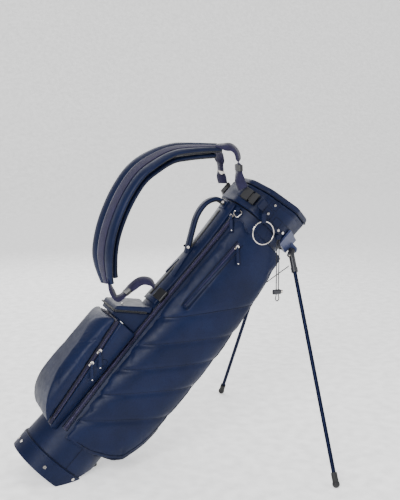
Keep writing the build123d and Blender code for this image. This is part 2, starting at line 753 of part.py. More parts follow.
with BuildPart() as rod_guides:
    for h in (140, 260, 380, 500):
        with Locations((103.6, 0, h)):
            Box(20, 14, 14, align=(Align.MAX, Align.CENTER, Align.CENTER))
        with Locations((96.5, 0, h)):
            Cylinder(2.8, 40, mode=Mode.SUBTRACT)
    add(keepout, mode=Mode.SUBTRACT)
save(rod_guides, "rod_guides")

with BuildPart() as wire_near:
    with Locations(wire_line * Location((0, 0, 2.6))):
        Cylinder(1.25, WIRE_L - 2.6 - 12.5, align=UP)
    with Locations(wire_pin):
        Cylinder(4.2, 3)
        Cylinder(1.55, 10, mode=Mode.SUBTRACT)
save(wire_near, "wire_near")
with BuildPart() as wire_far:
    mirror(wire_near.part, about=Plane.XZ)
save(wire_far, "wire_far")

with BuildPart() as leg_pad:
    with BuildSketch(Plane.XZ):
        with BuildLine():
            Spline((139, 128), (148, 151), (157, 219), (160, 330), (161, 430), (158, 516), (148, 562))
            Polyline((148, 562), (120, 572), (104, 570), (104, 127), (139, 128))
        make_face()
    extrude(amount=28, both=True)
    fillet(leg_pad.faces().sort_by(Axis.X)[-1].edges().filter_by(lambda e: e.length > 100), 9)
save(leg_pad, "leg_pad")

# ------------------------------------------------------------------ drawcord of the rain hood

CORD_R = 1.25
CORD_TOP = (33.0, -104.0, 797.0)
hang = Location(CORD_TOP) * upright_world
hang_plane = Plane(hang * Location((0, 0, 0), (90, 0, 0)))
CORD = [(-2.6, 0), (-3.4, -40), (-2.8, -82), (-3.2, -124), (-2.6, -141), (-5.6, -151), (0, -158), (5.6, -151),
        (2.6, -141), (3.2, -124), (2.8, -82), (3.4, -40), (2.6, 0)]
CORD_BENDS = [400, 400, 150, 12, 4, 3.6, 4, 12, 150, 400, 400]

with BuildPart() as drawcord:
    with BuildLine(hang_plane) as cord_line:
        FilletPolyline(*CORD, radius=CORD_BENDS)
    with BuildSketch(Plane(cord_line.line @ 0, z_dir=cord_line.line % 0)):
        Circle(CORD_R)
    sweep()
CORD_L = sum(edge.length for edge in cord_line.edges())
print("cord length", CORD_L, "bends", CORD_BENDS)
print("section x length", CORD_L * math.pi * CORD_R ** 2, "volume", drawcord.part.volume)
save(drawcord, "drawcord")

with BuildPart() as cord_lock:
    with Locations(hang * Location((-1.5, 0, -133))):
        Box(19, 11, 12)
    fillet(cord_lock.edges().filter_by(lambda e: abs(e.length - 19) < 0.01), 4)
    with Locations(hang * Location((0, 0, -133))):
        Box(11, 4, 20, mode=Mode.SUBTRACT)
    with Locations(hang * Location((4.5, 0, -133), (0, 90, 0))):
        Cylinder(3.1, 16, align=UP, mode=Mode.SUBTRACT)
save(cord_lock, "cord_lock")

with BuildPart() as cord_lock_button:
    with Locations(hang * Location((7.4, 0, -133), (0, 90, 0))):
        Cylinder(3.0, 5, align=UP)
    with Locations(hang * Location((10.8, 0, -133), (0, 90, 0))):
        Cylinder(4.2, 3.7, align=UP)
save(cord_lock_button, "cord_lock_button")

with BuildPart() as cord_outlet:
    with Locations(hang * Location((0, 0, 4))):
        Box(12, 7, 7.6)
    with Locations(hang * Location((0, 4, 9))):
        Box(12, 14, 5)
    add(collar_form.part, mode=Mode.SUBTRACT)
save(cord_outlet, "cord_outlet")

# ------------------------------------------------------------------ like pieces written together

save_group("rivets", base_rivets, handle_rivets, collar_rivets)
save_group("hinge_pins", leg_pins, base_lever_pin)
save_group("lining", body_lining, collar_lining)
save_group("divider_sheets", divider_sheet_across, divider_sheet_lengthwise)
save_group("buckle_sockets", buckle_socket_near, buckle_socket_far)
save_group("buckle_plugs", buckle_plug_near, buckle_plug_far)
save_group("adjusters", adjuster_upper_near, adjuster_lower)
save_group("ring_tabs", towel_ring_tab, d_ring_tab)
save_group("patches", strap_patches, handle_patches)
save_group("webbing", web_upper_near, web_upper_far, web_lower)
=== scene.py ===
import json
import math

import bmesh
import bpy
from mathutils import Matrix, Vector
from mathutils.bvhtree import BVHTree


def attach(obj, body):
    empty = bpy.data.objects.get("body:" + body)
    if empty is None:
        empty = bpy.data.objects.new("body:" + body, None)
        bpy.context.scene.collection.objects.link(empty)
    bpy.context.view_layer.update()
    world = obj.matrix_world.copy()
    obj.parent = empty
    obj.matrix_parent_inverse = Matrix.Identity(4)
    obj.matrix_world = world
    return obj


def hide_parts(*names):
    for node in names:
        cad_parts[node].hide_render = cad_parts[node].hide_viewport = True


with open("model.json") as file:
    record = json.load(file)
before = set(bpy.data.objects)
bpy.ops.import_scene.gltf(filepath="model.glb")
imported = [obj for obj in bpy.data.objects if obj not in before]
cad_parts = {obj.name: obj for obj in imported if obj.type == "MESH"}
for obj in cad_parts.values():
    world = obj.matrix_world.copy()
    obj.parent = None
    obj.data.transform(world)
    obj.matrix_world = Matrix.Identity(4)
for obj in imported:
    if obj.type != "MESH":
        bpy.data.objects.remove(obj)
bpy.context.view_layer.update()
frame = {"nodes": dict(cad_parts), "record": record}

bl_info = {
    "name": "Golf Stand Bag",
    "version": (1, 0, 0),
    "blender": (4, 5, 0),
    "location": "View3D > Sidebar > Stand Bag",
    "description": "Leather skins, straps, trims and studio for a leaning golf stand bag",
    "category": "Object",
}

# The bag is worked on upright and in millimetres: X to the front, Y across, Z up the bag.
LEAN = math.radians(44.2)
TO_ROW = Matrix.Translation((-0.311, 0, 0.007669)) @ Matrix.Rotation(LEAN, 4, "Y") @ Matrix.Scale(0.001, 4)
FROM_ROW = TO_ROW.inverted()
PLUMB = Vector((-math.sin(LEAN), 0, math.cos(LEAN)))      # world up, seen from the upright bag
LEVEL = Vector((math.cos(LEAN), 0, math.sin(LEAN)))       # world +X, likewise
ACROSS = Vector((0, 1, 0))
UP = Vector((0, 0, 1))

BODY = ((44, 92.4), (110, 90.5), (300, 86.0), (520, 83.5), (640, 82.5), (720, 86.0), (800, 92.5))
SIDE_FRONT = ((63, 117), (104, 139), (119, 168), (133, 210), (139, 262), (141, 337), (140, 414), (134, 518),
              (128, 603), (115, 697), (105, 740), (96, 778))
STRAP = ((-209, 867), (-260, 818), (-292, 781), (-312, 737), (-323, 685), (-316, 628), (-298, 571), (-276, 525),
         (-249, 487), (-218, 461), (-196, 447))
PAD_WIDTHS = ((0, 0.5), (0.16, 0.76), (0.36, 1.0), (0.78, 1.0), (1, 0.58))
MOUTH = ((92, -52), (25, -103), (-62, -92), (-101, -46), (-101, 46), (-62, 92), (25, 103), (92, 52))
MOUTH_IN = ((66, -42), (22, -84), (-44, -76), (-70, -38), (-70, 38), (-44, 76), (22, 84), (66, 42))


def linear(code):
    """A linear colour from an sRGB hex code."""
    parts = [int(code[i:i + 2], 16) / 255 for i in (1, 3, 5)]
    return [p / 12.92 if p <= 0.04045 else ((p + 0.055) / 1.055) ** 2.4 for p in parts]


# ------------------------------------------------------------------ settings


class StandBagColours(bpy.types.PropertyGroup):
    leather: bpy.props.FloatVectorProperty(
        name="Leather", description="Body of the synthetic leather", subtype="COLOR", size=3, min=0, max=1,
        default=linear("#101a37"))
    webbing: bpy.props.FloatVectorProperty(
        name="Webbing", description="Polyester strap webbing and zip tape", subtype="COLOR", size=3, min=0, max=1,
        default=linear("#1b1838"))
    tube: bpy.props.FloatVectorProperty(
        name="Leg Tube", description="Anodised leg tubes", subtype="COLOR", size=3, min=0, max=1,
        default=linear("#151a30"))
    bracket: bpy.props.FloatVectorProperty(
        name="Leg Bracket", description="Moulded leg bracket", subtype="COLOR", size=3, min=0, max=1,
        default=linear("#2a3355"))
    metal: bpy.props.FloatVectorProperty(
        name="Nickel", description="Rings, rivets and zip sliders", subtype="COLOR", size=3, min=0, max=1,
        default=linear("#d8d2cc"))


class StandBagSizes(bpy.types.PropertyGroup):
    grain: bpy.props.FloatProperty(
        name="Leather Grain", description="Width of one pebble of the embossed grain, drawn coarser than the real 0.8 mm",
        default=0.0022, min=0.0005, max=0.01, unit="LENGTH", subtype="DISTANCE")
    rib: bpy.props.FloatProperty(
        name="Webbing Rib", description="Pitch of the webbing's ribs, drawn coarser than the real 1.2 mm",
        default=0.0026, min=0.0005, max=0.01, unit="LENGTH", subtype="DISTANCE")
    puff: bpy.props.FloatProperty(
        name="Padding", description="How far padded panels may swell",
        default=0.004, min=0.0, max=0.012, unit="LENGTH", subtype="DISTANCE")
    welt: bpy.props.FloatProperty(
        name="Welt", description="Radius of the piping along the panel edges",
        default=0.0015, min=0.0005, max=0.004, unit="LENGTH", subtype="DISTANCE")


# ------------------------------------------------------------------ finishes


def add_node(tree, kind, values=None, links=None, **settings):
    """Add a node with its settings, socket values and incoming links."""
    made = tree.nodes.new(kind)
    for key, value in settings.items():
        setattr(made, key, value)
    for key, value in (values or {}).items():
        made.inputs[key].default_value = value
    for key, source in (links or {}).items():
        tree.links.new(source, made.inputs[key])
    return made


def shades(tree, fac, dark, light, low=0.3, high=0.7):
    """A ramp between two linear colours."""
    ramp = add_node(tree, "ShaderNodeValToRGB", links={"Fac": fac})
    ramp.color_ramp.elements[0].position = low
    ramp.color_ramp.elements[0].color = (*dark, 1)
    ramp.color_ramp.elements[1].position = high
    ramp.color_ramp.elements[1].color = (*light, 1)
    return ramp.outputs["Color"]


def scaled(colour, share):
    return [min(1.0, part * share) for part in colour]


def empty_finish(name, **values):
    """A material with a plain shader on it; values go on the shader's own sockets."""
    material = bpy.data.materials.new(name)
    material.use_nodes = True
    tree = material.node_tree
    shader = tree.nodes["Principled BSDF"]
    for key, value in values.items():
        shader.inputs[key.replace("_", " ")].default_value = value
    return material, tree, shader


def leather_finish(name, colour, grain, roughness=0.42):
    """Synthetic leather: satin polyurethane over cloth, embossed with a fine pebble grain, so its glints are soft and
    broken; the creases between the pebbles are darkened in the colour as painted shade."""
    material, tree, shader = empty_finish(name, Specular_IOR_Level=0.16, IOR=1.46, Coat_Weight=0.02, Coat_Roughness=0.4)
    where = add_node(tree, "ShaderNodeTexCoord").outputs["Object"]
    cloud = add_node(tree, "ShaderNodeTexNoise", {"Scale": 9.0, "Detail": 3.0, "Roughness": 0.6}, {"Vector": where})
    pebble = add_node(tree, "ShaderNodeTexVoronoi", {"Scale": 1 / grain, "Randomness": 0.9}, {"Vector": where},
                      feature="SMOOTH_F1")
    crease = add_node(tree, "ShaderNodeTexNoise", {"Scale": 55.0, "Detail": 4.0, "Roughness": 0.65}, {"Vector": where})
    tone = shades(tree, cloud.outputs["Fac"], scaled(colour, 0.82), scaled(colour, 1.2), 0.36, 0.66)
    # painted shade: the colour darkens towards the edge of each pebble, in the creases between them
    painted_crease_shade = shades(tree, pebble.outputs["Distance"], (1, 1, 1), (0.72, 0.72, 0.76), 0.25, 0.75)
    # a Mix node's colour sockets are its seventh and eighth
    mix = add_node(tree, "ShaderNodeMix", {"Factor": 1.0}, {6: tone, 7: painted_crease_shade}, data_type="RGBA", blend_type="MULTIPLY")
    tree.links.new(mix.outputs[2], shader.inputs["Base Color"])
    gloss = add_node(tree, "ShaderNodeMapRange", {"From Min": 0.3, "From Max": 0.7, "To Min": roughness - 0.06,
                                                  "To Max": roughness + 0.08}, {"Value": crease.outputs["Fac"]})
    tree.links.new(gloss.outputs["Result"], shader.inputs["Roughness"])
    low = add_node(tree, "ShaderNodeBump", {"Strength": 0.35, "Distance": 0.0012}, {"Height": crease.outputs["Fac"]})
    fine = add_node(tree, "ShaderNodeBump", {"Strength": 0.30, "Distance": 0.0004},
                    {"Height": pebble.outputs["Distance"], "Normal": low.outputs["Normal"]}, invert=True)
    tree.links.new(fine.outputs["Normal"], shader.inputs["Normal"])
    return material


def woven_finish(name, colour, rib, roughness=0.75, contrast=0.6):
    """Woven polyester: rounded ribs across the strap with threads along it, dull with a faint sheen off its fibres.
    Reads the strap's own map, in metres along and across."""
    material, tree, shader = empty_finish(name, Roughness=roughness, Specular_IOR_Level=0.3, Sheen_Weight=0.25,
                                          Sheen_Roughness=0.4)
    where = add_node(tree, "ShaderNodeTexCoord").outputs["UV"]
    scale = math.tau / (20 * rib)
    ribs = add_node(tree, "ShaderNodeTexWave", {"Scale": scale}, {"Vector": where}, bands_direction="X")
    threads = add_node(tree, "ShaderNodeTexWave", {"Scale": scale * 0.9}, {"Vector": where}, bands_direction="Y")
    weave = add_node(tree, "ShaderNodeMath", links={0: ribs.outputs["Fac"], 1: threads.outputs["Fac"]}, operation="MULTIPLY")
    cloud = add_node(tree, "ShaderNodeTexNoise", {"Scale": 60.0, "Detail": 3.0}, {"Vector": where})
    both = add_node(tree, "ShaderNodeMath", {2: 0.0}, {0: weave.outputs[0], 1: cloud.outputs["Fac"]}, operation="ADD")
    tree.links.new(shades(tree, both.outputs[0], scaled(colour, contrast), scaled(colour, 1.35), 0.35, 1.1),
                   shader.inputs["Base Color"])
    bump = add_node(tree, "ShaderNodeBump", {"Strength": 0.6, "Distance": 0.0006}, {"Height": weave.outputs[0]})
    tree.links.new(bump.outputs["Normal"], shader.inputs["Normal"])
    return material


def mesh_finish(name, colour, hole=0.0036):
    """Spacer mesh: a knitted air mesh with round holes 3.6 mm apart, drawn coarser than the real 2 mm, matt black."""
    material, tree, shader = empty_finish(name, Roughness=0.85, Specular_IOR_Level=0.25, Sheen_Weight=0.2)
    where = add_node(tree, "ShaderNodeTexCoord").outputs["Object"]
    holes = add_node(tree, "ShaderNodeTexVoronoi", {"Scale": 1 / hole, "Randomness": 0.15}, {"Vector": where})
    tree.links.new(shades(tree, holes.outputs["Distance"], scaled(colour, 0.35), scaled(colour, 1.5), 0.18, 0.5),
                   shader.inputs["Base Color"])
    bump = add_node(tree, "ShaderNodeBump", {"Strength": 0.7, "Distance": 0.0008}, {"Height": holes.outputs["Distance"]})
    tree.links.new(bump.outputs["Normal"], shader.inputs["Normal"])
    return material


def moulded_finish(name, colour, roughness, grit=0.0012, **values):
    """Moulded nylon or rubber: spark-eroded tool texture, so the gloss breaks up finely and the colour hardly varies."""
    material, tree, shader = empty_finish(name, IOR=1.5, **values)
    where = add_node(tree, "ShaderNodeTexCoord").outputs["Object"]
    grain = add_node(tree, "ShaderNodeTexNoise", {"Scale": 1 / grit, "Detail": 2.0}, {"Vector": where})
    cloud = add_node(tree, "ShaderNodeTexNoise", {"Scale": 30.0, "Detail": 2.0}, {"Vector": where})
    tree.links.new(shades(tree, cloud.outputs["Fac"], scaled(colour, 0.8), scaled(colour, 1.25)), shader.inputs["Base Color"])
    gloss = add_node(tree, "ShaderNodeMapRange", {"To Min": roughness - 0.07, "To Max": roughness + 0.09},
                     {"Value": grain.outputs["Fac"]})
    tree.links.new(gloss.outputs["Result"], shader.inputs["Roughness"])
    bump = add_node(tree, "ShaderNodeBump", {"Strength": 0.2, "Distance": 0.0002}, {"Height": grain.outputs["Fac"]})
    tree.links.new(bump.outputs["Normal"], shader.inputs["Normal"])
    return material


def metal_finish(name, colour, roughness, scratch=900.0):
    """Plated or anodised metal: clean, with hair scratches that spread its highlights a little."""
    material, tree, shader = empty_finish(name, Metallic=1.0)
    where = add_node(tree, "ShaderNodeTexCoord").outputs["Object"]
    hairs = add_node(tree, "ShaderNodeTexNoise", {"Scale": scratch, "Detail": 2.0}, {"Vector": where})
    cloud = add_node(tree, "ShaderNodeTexNoise", {"Scale": 40.0}, {"Vector": where})
    tree.links.new(shades(tree, cloud.outputs["Fac"], scaled(colour, 0.85), scaled(colour, 1.05)), shader.inputs["Base Color"])
    gloss = add_node(tree, "ShaderNodeMapRange", {"To Min": roughness * 0.75, "To Max": roughness * 1.3},
                     {"Value": hairs.outputs["Fac"]})
    tree.links.new(gloss.outputs["Result"], shader.inputs["Roughness"])
    return material


FINISH = {}


def mix_finishes(colours, sizes):
    """Every finish, under the name of the record's slot it belongs to, with a few more for stitches and teeth."""
    leather, web, black = list(colours.leather), list(colours.webbing), linear("#101116")
    FINISH["navy_leather"] = leather_finish("Navy synthetic leather", leather, sizes.grain)
    # the piping leather is the body leather at about half its brightness: painted shade along the piping, quilting and
    # seams
    FINISH["welt"] = leather_finish("Navy leather piping", scaled(leather, 0.55), sizes.grain, 0.5)
    # a copy of the body leather a quarter brighter: painted highlight on the base stitching and the gusset's welt
    FINISH["painted_highlight_welt"] = leather_finish("Navy leather piping, polished, painted highlight", scaled(leather, 1.25), sizes.grain, 0.36)
    FINISH["navy_webbing"] = woven_finish("Navy polyester webbing", web, sizes.rib)
    FINISH["black_webbing"] = woven_finish("Black polyester binding", linear("#15161c"), sizes.rib)
    FINISH["zip_tape"] = woven_finish("Navy zip tape", scaled(web, 0.8), 0.0016)
    # the coil's colour is the webbing's made half again brighter: painted highlight along the coil's ridge
    FINISH["zip_teeth"] = woven_finish("Moulded zip coil", scaled(web, 1.5), 0.0030, 0.4, 0.3)
    FINISH["black_mesh"] = mesh_finish("Black spacer mesh", linear("#191a20"))
    FINISH["black_lining"] = moulded_finish("Black nylon lining", linear("#08090d"), 0.85, 0.0020)
    FINISH["black_plastic"] = moulded_finish("Black moulded nylon", black, 0.42)
    FINISH["grey_plastic"] = moulded_finish("Graphite moulded nylon", linear("#24252c"), 0.36)
    FINISH["navy_plastic"] = moulded_finish("Navy moulded nylon", list(colours.bracket), 0.38)
    FINISH["black_rubber"] = moulded_finish("Black rubber", linear("#121215"), 0.6)
    FINISH["navy_tube"] = metal_finish("Navy anodised aluminium", list(colours.tube), 0.38)
    FINISH["nickel"] = metal_finish("Polished nickel plate", list(colours.metal), 0.16)
    FINISH["black_steel"] = moulded_finish("Black painted steel", linear("#15151a"), 0.35)
    FINISH["black_cord"] = woven_finish("Black braided cord", linear("#14151c"), 0.0018)
    FINISH["floor"] = moulded_finish("White matt floor", linear("#f4f4f4"), 0.9, 0.01, Emission_Color=(1, 1, 1, 1),
                                     Emission_Strength=0.75)


# ------------------------------------------------------------------ making pieces


def linked(name, mesh):
    made = bpy.data.objects.new(name, mesh)
    bpy.context.scene.collection.objects.link(made)
    return made


def evaluated(made):
    """Mesh of an object with its modifiers worked out."""
    bpy.context.view_layer.update()
    return bpy.data.meshes.new_from_object(made.evaluated_get(bpy.context.evaluated_depsgraph_get()))


def finished(bm, name, finish, body="bag", nodes=(), sharp=None):
    """Lean the upright form over, give it its finish, and let it ride on its body."""
    bmesh.ops.recalc_face_normals(bm, faces=bm.faces)
    bmesh.ops.transform(bm, matrix=TO_ROW, verts=bm.verts)
    mesh = bpy.data.meshes.new(name)
    bm.to_mesh(mesh)
    bm.free()
    mesh.materials.append(FINISH[finish])
    mesh.shade_smooth()
    if sharp:
        mesh.set_sharp_from_angle(angle=math.radians(sharp))
    made = linked(name, mesh)
    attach(made, body)
    if nodes:
        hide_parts(*nodes)
    return made


def skin_of(node, voxel, rounds):
    """Even, rounded skin over a CAD solid."""
    bm = bmesh.new()
    bm.from_mesh(frame["nodes"][node].data)
    bmesh.ops.remove_doubles(bm, verts=bm.verts, dist=2e-5)
    bmesh.ops.transform(bm, matrix=FROM_ROW, verts=bm.verts)
    mesh = bpy.data.meshes.new("pattern")
    bm.to_mesh(mesh)
    bm.clear()
    pattern = linked("pattern", mesh)
    remesh = pattern.modifiers.new("Skin", "REMESH")
    remesh.mode = "VOXEL"
    remesh.voxel_size = voxel
    bm.from_mesh(evaluated(pattern))
    bpy.data.objects.remove(pattern)
    for _ in range(rounds):
        bmesh.ops.smooth_vert(bm, verts=bm.verts, factor=0.5, use_axis_x=True, use_axis_y=True, use_axis_z=True)
    bm.normal_update()
    return bm


def puffed(bm, cap, pressure=4.0):
    """Let the skin swell like foam under leather, no point moving further than the cap, in millimetres."""
    for vert in bm.verts:
        vert.co -= vert.normal * cap * 0.45
    mesh = bpy.data.meshes.new("blown")
    bm.to_mesh(mesh)
    mesh.transform(Matrix.Scale(0.001, 4))
    blown = linked("blown", mesh)
    cloth = blown.modifiers.new("Cloth", "CLOTH")
    cloth.settings.quality = 4
    cloth.settings.use_pressure = True
    cloth.settings.uniform_pressure_force = pressure
    cloth.settings.effector_weights.gravity = 0
    for step in range(1, 21):
        bpy.context.scene.frame_set(step)
    result = evaluated(blown)
    for vert, after in zip(bm.verts, result.vertices):
        shift = after.co * 1000 - vert.co
        vert.co += shift.normalized() * min(shift.length, cap)
    bpy.data.objects.remove(blown)
    bpy.context.scene.frame_set(1)
    bm.normal_update()
    return bm


def through(points, steps=8, closed=False):
    """Smooth run through points."""
    points = [Vector(p) for p in points]
    count = len(points)
    run = []
    for i in range(count if closed else count - 1):
        if closed:
            a, b, c, d = (points[(i + k) % count] for k in (-1, 0, 1, 2))
        else:
            a, b, c, d = points[max(i - 1, 0)], points[i], points[i + 1], points[min(i + 2, count - 1)]
        for k in range(steps):
            t = k / steps
            run.append(0.5 * ((2 * b) + (c - a) * t + (2 * a - 5 * b + 4 * c - d) * t * t + (3 * b - a - 3 * c + d) * t ** 3))
    return run if closed else run + [points[-1]]


def welt(points, radius, closed=False):
    """Round welt, cord or thread along a run."""
    curve = bpy.data.curves.new("run", "CURVE")
    curve.dimensions = "3D"
    curve.bevel_depth = radius
    curve.bevel_resolution = 2
    curve.use_fill_caps = True
    spline = curve.splines.new("POLY")
    spline.points.add(len(points) - 1)
    for point, at in zip(spline.points, points):
        point.co = (*at, 1)
    spline.use_cyclic_u = closed
    made = linked("run", curve)
    bm = bmesh.new()
    bm.from_mesh(evaluated(made))
    bpy.data.objects.remove(made)
    bmesh.ops.remove_doubles(bm, verts=bm.verts, dist=1e-4)
    return bm


def swept(steps, profile, closed=False):
    """Bridge a cross-section along a run. A step is (place, across, out); the profile gives (across, out) pairs in
    millimetres at a share of the run. The map holds metres along and across."""
    bm = bmesh.new()
    layer = bm.loops.layers.uv.new("strap")
    rings, travel, place = [], {}, 0.0
    for i, (at, across, out) in enumerate(steps):
        outline = profile(i / (len(steps) - 1))
        ring = [bm.verts.new(at + across * a + out * b) for a, b in outline]
        if i:
            place += (at - steps[i - 1][0]).length / 1000
        for vert, (a, b) in zip(ring, outline):
            travel[vert] = (place, a / 1000)
        rings.append([bm.edges.new((ring[k], ring[(k + 1) % len(ring)])) for k in range(len(ring))])
    pairs = list(zip(rings, rings[1:])) + ([(rings[-1], rings[0])] if closed else [])
    for near, far in pairs:
        bmesh.ops.bridge_loops(bm, edges=near + far)
    if not closed:
        for ring in (rings[0], rings[-1]):
            bmesh.ops.contextual_create(bm, geom=ring)
    for face in bm.faces:
        for loop in face.loops:
            loop[layer].uv = travel[loop.vert]
    return bm


def flat_steps(points, s, twist=0.0, centre=None):
    """Steps of a strap whose run lies in one plane along the bag; out points away from a centre."""
    run = through([(f, s, h) for f, h in points], 7)
    steps = []
    for i, at in enumerate(run):
        along = (run[min(i + 1, len(run) - 1)] - run[max(i - 1, 0)]).normalized()
        out = along.cross(ACROSS) if centre is None else ACROSS.cross(along)
        if centre is not None and out.dot(at - Vector((centre[0], s, centre[1]))) < 0:
            out = -out
        turn = Matrix.Rotation(twist, 3, along)
        steps.append((at, turn @ ACROSS, turn @ out))
    return steps


def laid(tree, points, toward, lift=0.0):
    """Points dropped onto a skin along a direction, and lifted off it a little."""
    found = []
    for at in points:
        hit, normal, _, _ = tree.ray_cast(Vector(at) - toward * 120, toward, 260)
        if hit is not None:
            found.append(hit + normal * lift)
    return found


def radius_at(h):
    for (h0, r0), (h1, r1) in zip(BODY, BODY[1:]):
        if h <= h1:
            return r0 + (r1 - r0) * (h - h0) / (h1 - h0)
    return BODY[-1][1]


def seam_angle(h):
    return 57.5 - 19.0 * (1 - ((640 - h) / 545) ** 1.6) if h < 640 else 38.5


def on_back(h, angle, out):
    """Point at a height and an angle round from the back, near side, some way off the skin."""
    a = math.radians(angle)
    return Vector((-math.cos(a), -math.sin(a), 0)) * (radius_at(h) + out) + UP * h


def pointing(at, along, out):
    """Matrix whose Z runs along one direction and Y out along another."""
    z = Vector(along).normalized()
    x = Vector(out).cross(z).normalized()
    y = z.cross(x)
    turn = Matrix((x, y, z)).transposed().to_4x4()
    return Matrix.Translation(at) @ turn


def rounded(outline, corner, steps=8):
    """Outline with its corners rounded off, the same number of points at each corner."""
    points = [Vector((f, s, 0)) for f, s in outline]
    run = []
    for i, here in enumerate(points):
        back = (points[i - 1] - here).normalized()
        ahead = (points[(i + 1) % len(points)] - here).normalized()
        half = back.angle(ahead) / 2
        reach = corner / math.tan(half)
        middle = here + (back + ahead).normalized() * corner / math.sin(half)
        start, end = here + back * reach - middle, here + ahead * reach - middle
        for k in range(steps + 1):
            run.append(middle + start.slerp(end, k / steps).normalized() * corner)
    return run


def join(*forms):
    """Several forms as one."""
    whole = forms[0]
    for form in forms[1:]:
        mesh = bpy.data.meshes.new("part")
        form.to_mesh(mesh)
        form.free()
        whole.from_mesh(mesh)
    return whole


def domed(at, out, radius, height):
    """Low domed rivet or stud head."""
    bm = bmesh.new()
    bmesh.ops.create_uvsphere(bm, u_segments=20, v_segments=10, radius=1)
    bmesh.ops.bisect_plane(bm, geom=bm.verts[:] + bm.edges[:] + bm.faces[:], plane_co=(0, 0, -0.2), plane_no=(0, 0, 1),
                           clear_inner=True)
    bmesh.ops.scale(bm, vec=(radius, radius, height), verts=bm.verts)
    turn = UP.rotation_difference(Vector(out).normalized()).to_matrix().to_4x4()
    bmesh.ops.transform(bm, matrix=Matrix.Translation(at) @ turn, verts=bm.verts)
    bmesh.ops.holes_fill(bm, edges=bm.edges, sides=0)
    return bm


# ------------------------------------------------------------------ stage


class STANDBAG_OT_stage(bpy.types.Operator):
    """Pale floor, soft studio lights and the camera"""
    bl_idname = "standbag.stage"
    bl_label = "Stage"

    def execute(self, context):
        turn, rise, reach = math.radians(-21.73), math.radians(10.28), 2.1
        aim = Vector((0.1015, 0, 0.5233))
        back = Vector((math.sin(turn) * math.cos(rise), -math.cos(turn) * math.cos(rise), math.sin(rise)))
        lens = bpy.data.cameras.new("camera")
        lens.lens, lens.sensor_width, lens.clip_end = 59.9, 36, 60
        camera = linked("camera", lens)
        camera.location = aim + back * reach
        camera.rotation_euler = back.to_track_quat("Z", "Y").to_euler()
        context.scene.camera = camera

        world = bpy.data.worlds.new("studio")
        world.use_nodes = True
        world.node_tree.nodes["Background"].inputs["Color"].default_value = (1, 1, 1, 1)
        world.node_tree.nodes["Background"].inputs["Strength"].default_value = 0.45
        context.scene.world = world
        for name, at, size, power in (("key", (-1.7, -2.0, 1.9), 1.3, 80), ("fill", (1.9, -1.9, 1.3), 1.8, 26),
                                      ("top", (0.1, 0.3, 2.8), 2.2, 22), ("back", (0.2, 2.2, 1.6), 2.0, 30)):
            lamp = bpy.data.lights.new(name, "AREA")
            lamp.size, lamp.energy = size, power
            light = linked(name, lamp)
            light.location = at
            light.rotation_euler = (Vector(at) - Vector((0, 0, 0.4))).to_track_quat("Z", "Y").to_euler()

        bm = bmesh.new()
        bmesh.ops.create_grid(bm, x_segments=40, y_segments=40, size=9)
        for vert in bm.verts:
            vert.co.z = -0.0004 + max(0.0, vert.co.y - 4.5) ** 2 * 0.35
        mesh = bpy.data.meshes.new("floor")
        bm.to_mesh(mesh)
        bm.free()
        mesh.materials.append(FINISH["floor"])
        mesh.shade_smooth()
        linked("floor", mesh)
        return {"FINISHED"}


# ------------------------------------------------------------------ pieces


class STANDBAG_OT_drawcord(bpy.types.Operator):
    """Elastic drawcord of the rain hood, hanging in a loop through its cord lock"""
    bl_idname = "standbag.drawcord"
    bl_label = "Drawcord"

    def execute(self, context):
        top = TO_ROW @ Vector((33, -104, 797))
        route = ((-2.6, 0), (-3.4, -40), (-2.8, -82), (-3.2, -124), (-2.6, -141), (-5.6, -151), (0, -158), (5.6, -151),
                 (2.6, -141), (3.2, -124), (2.8, -82), (3.4, -40), (2.6, 0))
        curve = bpy.data.curves.new("drawcord_loop", "CURVE")
        curve.dimensions = "3D"
        curve.bevel_depth = 0.00125
        curve.bevel_resolution = 3
        curve.resolution_u = 16
        curve.use_fill_caps = True
        spline = curve.splines.new("NURBS")
        spline.points.add(len(route) - 1)
        for point, (x, z) in zip(spline.points, route):
            point.co = (top.x + x / 1000, top.y, top.z + z / 1000, 1)
        spline.order_u = 3
        spline.use_endpoint_u = True
        curve.materials.append(FINISH["black_cord"])
        loop = linked("drawcord_loop", curve)
        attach(loop, "bag")
        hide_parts("drawcord")
        return {"FINISHED"}


